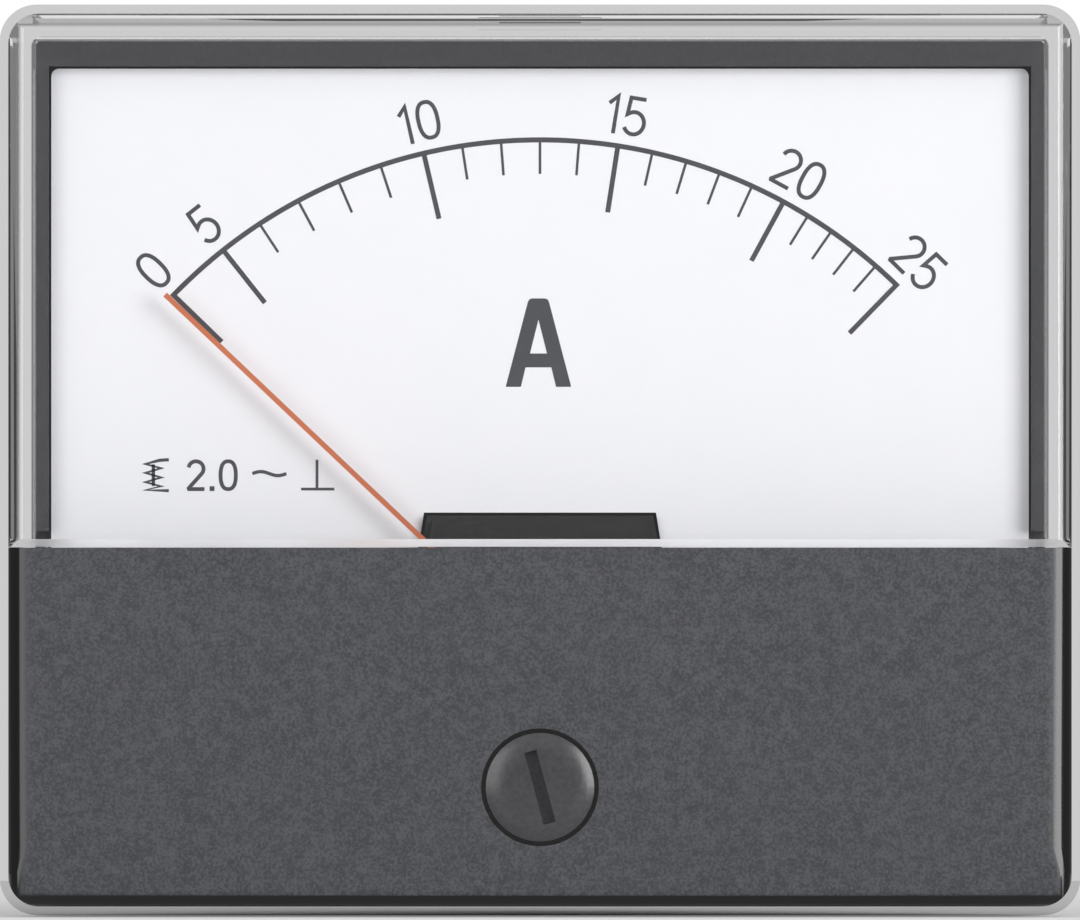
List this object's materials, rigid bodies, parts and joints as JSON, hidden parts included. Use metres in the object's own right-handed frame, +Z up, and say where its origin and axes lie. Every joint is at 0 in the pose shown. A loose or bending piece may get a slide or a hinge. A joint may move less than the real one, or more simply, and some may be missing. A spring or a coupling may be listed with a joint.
{
  "type": "analog panel meter",
  "caption": "Moving-iron panel ammeter with a clear push-on cover, black lower mask, round barrel and rear terminal studs.",
  "frame": {"origin": "on the panel's face, at the barrel's axis and the centre of the four mounting studs", "axes": "+Z up on the dial, +Y back through the panel (the dial faces -Y), +X to the viewer's right"},
  "size_m": [0.07, 0.0574, 0.059],
  "materials": {
    "clear_polystyrene": "glossy",
    "mask_plastic": "matte",
    "adjuster_plastic": "satin",
    "housing_plastic": "satin",
    "dial_white": "matte",
    "movement_plastic": "satin",
    "bobbin_plastic": "satin",
    "zinc_steel": "satin",
    "spindle_steel": "polished",
    "soft_iron": "matte",
    "brass": "satin",
    "spring_bronze": "satin",
    "pointer_red": "satin",
    "vane_aluminium": "satin",
    "enamelled_copper": "glossy"
  },
  "bodies": {
    "housing": {"front_cover": "clear_polystyrene", "lower_mask": "mask_plastic", "base_housing": "housing_plastic", "rear_barrel": "housing_plastic", "dial_plate": "dial_white", "dial_screws": "zinc_steel", "movement_frame": "movement_plastic", "damping_lid": "movement_plastic", "lid_screws": "zinc_steel", "movement_screws": "zinc_steel", "front_bridge": "brass", "bridge_screws": "zinc_steel", "front_jewel_screw": "brass", "jewel_lock_nut": "brass", "fixed_vane": "soft_iron", "coil_bobbin": "bobbin_plastic", "coil_winding": "enamelled_copper", "rear_bridge": "movement_plastic", "tie_screws": "zinc_steel", "rear_jewel_screw": "brass", "terminal_stud_left": "brass", "terminal_stud_right": "brass", "terminal_washers": "zinc_steel", "terminal_nuts": "brass", "spring_washers": "zinc_steel", "mounting_studs": "zinc_steel"},
    "moving_system": {"spindle": "spindle_steel", "pointer": "pointer_red", "balance_weights": "brass", "damping_vane": "vane_aluminium", "moving_vane": "soft_iron", "hairspring_collet": "brass"},
    "zero_lever": {"zero_lever": "brass", "hairspring": "spring_bronze"},
    "zero_screw": {"zero_screw": "adjuster_plastic"}
  },
  "joints": [
    {"name": "pointer_swing", "type": "hinge", "parent": "housing", "child": "moving_system", "pos_m": [0, 0, -0.0123], "axis": [0, 1, 0], "range_deg": [-2.5, 95], "stiffness_Nm_per_rad": 0.0001},
    {"name": "zero_screw_turn", "type": "hinge", "parent": "housing", "child": "zero_screw", "pos_m": [0, 0, -0.0211], "axis": [0, 1, 0], "range_deg": [-60, 60]},
    {"name": "zero_lever_swing", "type": "hinge", "parent": "housing", "child": "zero_lever", "pos_m": [0, 0, -0.0123], "axis": [0, 1, 0], "range_deg": [-6.5, 6.5]}
  ],
  "couplings": [
    {"joint": "zero_lever_swing", "follows": "zero_screw_turn", "ratio": -0.105}
  ]
}
